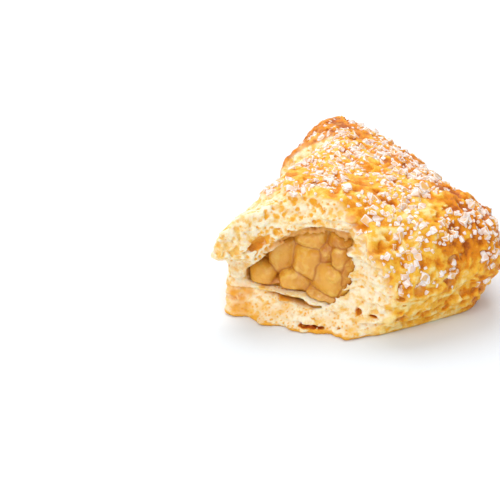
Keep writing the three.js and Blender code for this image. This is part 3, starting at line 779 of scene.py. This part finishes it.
lying.rotation_space = "LOCAL"
strewing.links.new(spots.outputs["Rotation"], lying.inputs["Rotation"])
strewing.links.new(turn.outputs["Value"], lying.inputs["Rotate By"])
which = strewing.nodes.new("FunctionNodeRandomValue")
which.data_type = "INT"
which.inputs["Min"].default_value = 0
which.inputs["Max"].default_value = CRYSTAL_KINDS - 1
draw = strewing.nodes.new("FunctionNodeRandomValue")
draw.data_type = "FLOAT"
skewed = strewing.nodes.new("ShaderNodeMath")
skewed.operation = "POWER"
skewed.inputs[1].default_value = 2.5
strewing.links.new(draw.outputs["Value"], skewed.inputs[0])
size = strewing.nodes.new("ShaderNodeMapRange")
strewing.links.new(skewed.outputs[0], size.inputs["Value"])
strewing.links.new(given.outputs["Smallest grain"], size.inputs["To Min"])
strewing.links.new(given.outputs["Largest grain"], size.inputs["To Max"])
squat = strewing.nodes.new("FunctionNodeRandomValue")
squat.data_type = "FLOAT_VECTOR"
squat.inputs["Min"].default_value = (0.8, 0.6, 0.4)
squat.inputs["Max"].default_value = (1.2, 0.9, 0.75)
grown = strewing.nodes.new("ShaderNodeVectorMath")
grown.operation = "SCALE"
strewing.links.new(squat.outputs["Value"], grown.inputs["Vector"])
strewing.links.new(size.outputs["Result"], grown.inputs["Scale"])
for node, offset in ((turn, 11), (which, 23), (draw, 37), (squat, 53)):
    node.inputs["Seed"].default_value = offset
placed = strewing.nodes.new("GeometryNodeInstanceOnPoints")
placed.inputs["Pick Instance"].default_value = True
strewing.links.new(spots.outputs["Points"], placed.inputs["Points"])
strewing.links.new(kinds.outputs["Geometry"], placed.inputs["Instance"])
strewing.links.new(which.outputs["Value"], placed.inputs["Instance Index"])
strewing.links.new(lying.outputs["Rotation"], placed.inputs["Rotation"])
strewing.links.new(grown.outputs["Vector"], placed.inputs["Scale"])
real = strewing.nodes.new("GeometryNodeRealizeInstances")
strewing.links.new(placed.outputs["Instances"], real.inputs["Geometry"])
finished = strewing.nodes.new("GeometryNodeSetMaterial")
strewing.links.new(real.outputs["Geometry"], finished.inputs["Geometry"])
strewing.links.new(given.outputs["Finish"], finished.inputs["Material"])
strewing.links.new(finished.outputs["Geometry"], result.inputs["Grains"])

strewer = pastry.modifiers.new("sugar", "NODES")
strewer.node_group = strewing
for item in strewing.interface.items_tree:
    if item.in_out == "INPUT" and item.name == "Finish":
        strewer[item.identifier] = sugar.material
strewn = bpy.data.meshes.new_from_object(pastry.evaluated_get(bpy.context.evaluated_depsgraph_get()))
pastry.modifiers.remove(strewer)
strewn.name = "sugar_grains"
sugar_grains = bpy.data.objects.new("sugar_grains", strewn)
bpy.context.collection.objects.link(sugar_grains)
for grain in grains:
    shape = grain.data
    bpy.data.objects.remove(grain)
    bpy.data.meshes.remove(shape)
if not strewn.materials:
    strewn.materials.append(sugar.material)
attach(sugar_grains, "root")

# Apple filling: cubes of cooked apple, about 9 mm, glossy in their thickened juice. The heap that
# shows in the mouth stands in front of a core of the same filling, which fills the pocket.
# Each row: place along the tear, height, width, tallness, turn, how far back it sits, how pale it is.
APPLE_DICE = [
    (15.9, 24.0, 9.2, 6.8, 0.1, 8.0, 0.7),
    (16.0, 17.0, 8.8, 8.6, 0.08, 5.6, 0.8),
    (24.0, 16.8, 6.8, 11.4, 0.12, 6.4, 0.9),
    (30.6, 11.2, 10.8, 7.2, 0.15, 4.6, 1.0),
    (25.6, 8.4, 6.0, 5.0, 0.1, 4.0, 0.2),
    (18.6, 10.2, 8.8, 8.0, -0.2, 4.0, 0.6),
    (9.7, 13.4, 9.4, 8.4, 0.3, 4.4, 0.8),
    (10.3, 7.4, 10.8, 5.6, 0.1, 3.6, 0.5),
    (10.4, 20.0, 5.6, 6.8, 0.3, 7.6, 0.1),
    (7.4, 24.2, 7.0, 6.6, 0.4, 7.4, 0.15),
    (5.6, 19.4, 5.0, 8.6, -0.3, 5.8, 0.5),
    (2.8, 16.4, 4.8, 7.6, -0.15, 5.0, 0.3),
    (4.4, 10.0, 5.8, 7.0, 0.3, 5.4, 0.4),
]
DIE_DEPTH = 9.0
DIE_ROUND = 2.0  # how round its worn edges are
SAUCE_SET_BACK = 8.6
APPLE_GAP = 0.35  # between the filling and the dough
APPLE_GRAIN = 0.36  # spacing of the grid on which the filling is worked out
APPLE_START = np.array([-67.0, 2.0, 4.5])  # two corners of that grid
APPLE_END = np.array([-8.0, 77.0, 29.5])
APPLE_TRIANGLES = 120000


def die_distances(x, y, z):
    """Distance outside each apple cube, with its swollen faces and worn edges."""
    s, n = beside_tear(x, y)
    found = []
    for number, (cs, cz, width, tall, turn, set_back, _) in enumerate(APPLE_DICE):
        ds, dz, dn = s - cs, z - cz, n + set_back + DIE_DEPTH / 2
        dn = dn + 0.32 * math.sin(number * 2.3) * ds + (0.2 + 0.22 * math.cos(number * 1.7)) * dz
        a = ds * math.cos(turn) + dz * math.sin(turn)
        c = dz * math.cos(turn) - ds * math.sin(turn)
        cushion = 0.8 * np.minimum((2 * a / width) ** 2 + (2 * c / tall) ** 2, 2.5)
        q = [np.abs(a) - width / 2, np.abs(dn) + cushion - DIE_DEPTH / 2, np.abs(c) - tall / 2]
        q = [v + DIE_ROUND for v in q]
        outer = np.sqrt(sum(np.maximum(v, 0) ** 2 for v in q))
        box = outer + np.minimum(np.maximum(np.maximum(q[0], q[1]), q[2]), 0) - DIE_ROUND
        swell = 0.6 * noise(a / 4 + number * 9.1, dn / 4, c / 4) - 0.35
        swell = swell + 0.25 * noise(a / 1.3, dn / 1.3 + number, c / 1.3)
        found.append(box + swell)
    return np.stack(found)


apple_count = np.ceil((APPLE_END - APPLE_START) / APPLE_GRAIN).astype(int)
ax, ay, az = (APPLE_START[axis] + APPLE_GRAIN * np.arange(apple_count[axis]) for axis in range(3))
ax, ay, az = ax[:, None, None], ay[None, :, None], az[None, None, :]
room_left = pocket_room(ax, ay, az, APPLE_GAP)
apple_s, apple_n = beside_tear(ax, ay)
sauce = apple_n + SAUCE_SET_BACK + 0.2 * np.maximum(0, az - 18)
sauce = sauce + 0.7 * noise(apple_s / 3.5, az / 3.5, 1.1)
filling = np.clip(np.maximum(room_left, sauce), -FIELD_LIMIT, FIELD_LIMIT).astype(np.float32)
front = np.nonzero((filling > -3) & (room_left < 1) & (apple_n > -16) & (apple_n < 1))
fx, fy, fz = (APPLE_START[axis] + APPLE_GRAIN * front[axis] for axis in range(3))
dice = die_distances(fx, fy, fz).min(0)
filling[front] = np.maximum(np.minimum(sauce[front], dice), room_left[front])
filling[front] = np.maximum(filling[front], APPLE_GAP - mouth_leaf(fx, fy, fz))
apple = mesh_of_field("apple_dice", filling, APPLE_START, APPLE_GRAIN, APPLE_TRIANGLES)
qx, qy, qz = points_of(apple)
from_dice = die_distances(qx, qy, qz)
near_dice = np.sort(from_dice, axis=0)
# Painted shade: darker in the crevices between the dice.
crevice_shade = 1 - ramp(0.05, 0.7, near_dice[1] - near_dice[0])
# Painted highlight: lighter in the middle of each die, away from the crevices, added to each die's own
# paleness.
painted_highlight = ramp(1.2, 4.5, near_dice[1] - near_dice[0])
paleness = np.array([die[6] for die in APPLE_DICE])
tint = 0.75 * paleness[from_dice.argmin(0)] + 0.4 * painted_highlight
# The third share is painted shade on the juice that lies deeper behind the dice.
paint(apple, "crevice_tint", crevice_shade, tint, ramp(1.0, 3.0, near_dice[0]))

stewed = Finish("stewed_apple")
# Shares: painted shade in the crevices, each die's tone with its painted highlight, and painted shade on
# the juice behind the dice.
gap, tint, deep = stewed.painted("crevice_tint")
amber = srgb(196, 120, 20)
apple_gold = srgb(230, 168, 56)
pale_streaks = srgb(234, 188, 84)
shade_between_dice = srgb(176, 98, 8)
shaded_sauce = srgb(170, 90, 8)
streaks = stewed.between(stewed.grain(3.0, 4.0, 0.6, twist=0.8), 0.42, 0.72)
flesh = stewed.mix(streaks, stewed.mix(tint, amber, apple_gold), pale_streaks)
# Painted shade: darker in the crevices between the dice, and darker still on the juice deep behind them.
flesh = stewed.mix(stewed.times(gap, 0.8), flesh, shade_between_dice)
flesh = stewed.mix(deep, flesh, shaded_sauce)
stewed.set(
    Base_Color=flesh,
    Roughness=stewed.between(gap, 0.0, 1.0, 0.35, 0.75),
    Specular_IOR_Level=0.3,
    Subsurface_Weight=0.3,
    Subsurface_Radius=(1.0, 0.6, 0.25),
    Subsurface_Scale=0.0015,
    Coat_Weight=0.6,
    Coat_Roughness=0.12,
)
stewed.relief(stewed.grain(1.4, 4.0, 0.65), 0.35)
apple.data.materials.append(stewed.material)
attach(apple, "root")
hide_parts("apple_filling")

# Studio: a plain pale floor, a broad soft light from behind overhead, a broader one from the left
# front, a small one that gives the apple its highlights, and the camera where the fitted view puts it.
AIM = Vector(((-50.9 - FRAME_CENTRE[0]) / 1000, (66.9 - FRAME_CENTRE[1]) / 1000, 0.0))
AZIMUTH = math.radians(-24.3)
ELEVATION = math.radians(25.0)
DISTANCE = 0.436
LIGHTS_AIM = Vector((0, 0, 0.015))
LIGHTS_AWAY = 1.0
FLOOR_HALF = 4

floor_mesh = bpy.data.meshes.new("floor")
corners = [(FLOOR_HALF * x, FLOOR_HALF * y, 0) for x, y in ((-1, -1), (1, -1), (1, 1), (-1, 1))]
floor_mesh.from_pydata(corners, [], [(0, 1, 2, 3)])
floor = bpy.data.objects.new("floor", floor_mesh)
bpy.context.collection.objects.link(floor)
pale = Finish("pale_floor")
pale.set(Base_Color=(0.8, 0.845, 0.89, 1), Roughness=0.9)
floor_mesh.materials.append(pale.material)

sky = bpy.data.worlds.new("soft_sky")
bpy.context.scene.world = sky
sky.use_nodes = True
sky.node_tree.nodes["Background"].inputs["Color"].default_value = (1, 1, 1, 1)
sky.node_tree.nodes["Background"].inputs["Strength"].default_value = 0.62
bpy.context.scene.view_settings.view_transform = "Standard"


def towards(azimuth, elevation):
    """Direction from the turnover to a light or the camera; azimuth 0 is straight in front."""
    level = math.cos(elevation)
    return Vector((math.sin(azimuth) * level, -math.cos(azimuth) * level, math.sin(elevation)))


def soft_light(name, azimuth, elevation, size, watts):
    lamp = bpy.data.lights.new(name, "AREA")
    lamp.shape = "DISK"
    lamp.size = size
    lamp.energy = watts
    light = bpy.data.objects.new(name, lamp)
    away = towards(math.radians(azimuth), math.radians(elevation))
    light.location = LIGHTS_AIM + away * LIGHTS_AWAY
    light.rotation_mode = "QUATERNION"
    light.rotation_quaternion = (-away).to_track_quat("-Z", "Y")
    bpy.context.collection.objects.link(light)


soft_light("overhead", 168, 60, 0.8, 6.6)
soft_light("left_front", -50, 38, 1.3, 4.3)
soft_light("small_bright", -60, 46, 0.12, 0.7)

camera_data = bpy.data.cameras.new("camera")
camera_data.lens = 100
camera_data.sensor_width = 36
camera_data.clip_start = 0.01
camera = bpy.data.objects.new("camera", camera_data)
away = towards(AZIMUTH, ELEVATION)
camera.location = AIM + away * DISTANCE
camera.rotation_mode = "QUATERNION"
camera.rotation_quaternion = (-away).to_track_quat("-Z", "Y")
bpy.context.collection.objects.link(camera)
bpy.context.scene.camera = camera
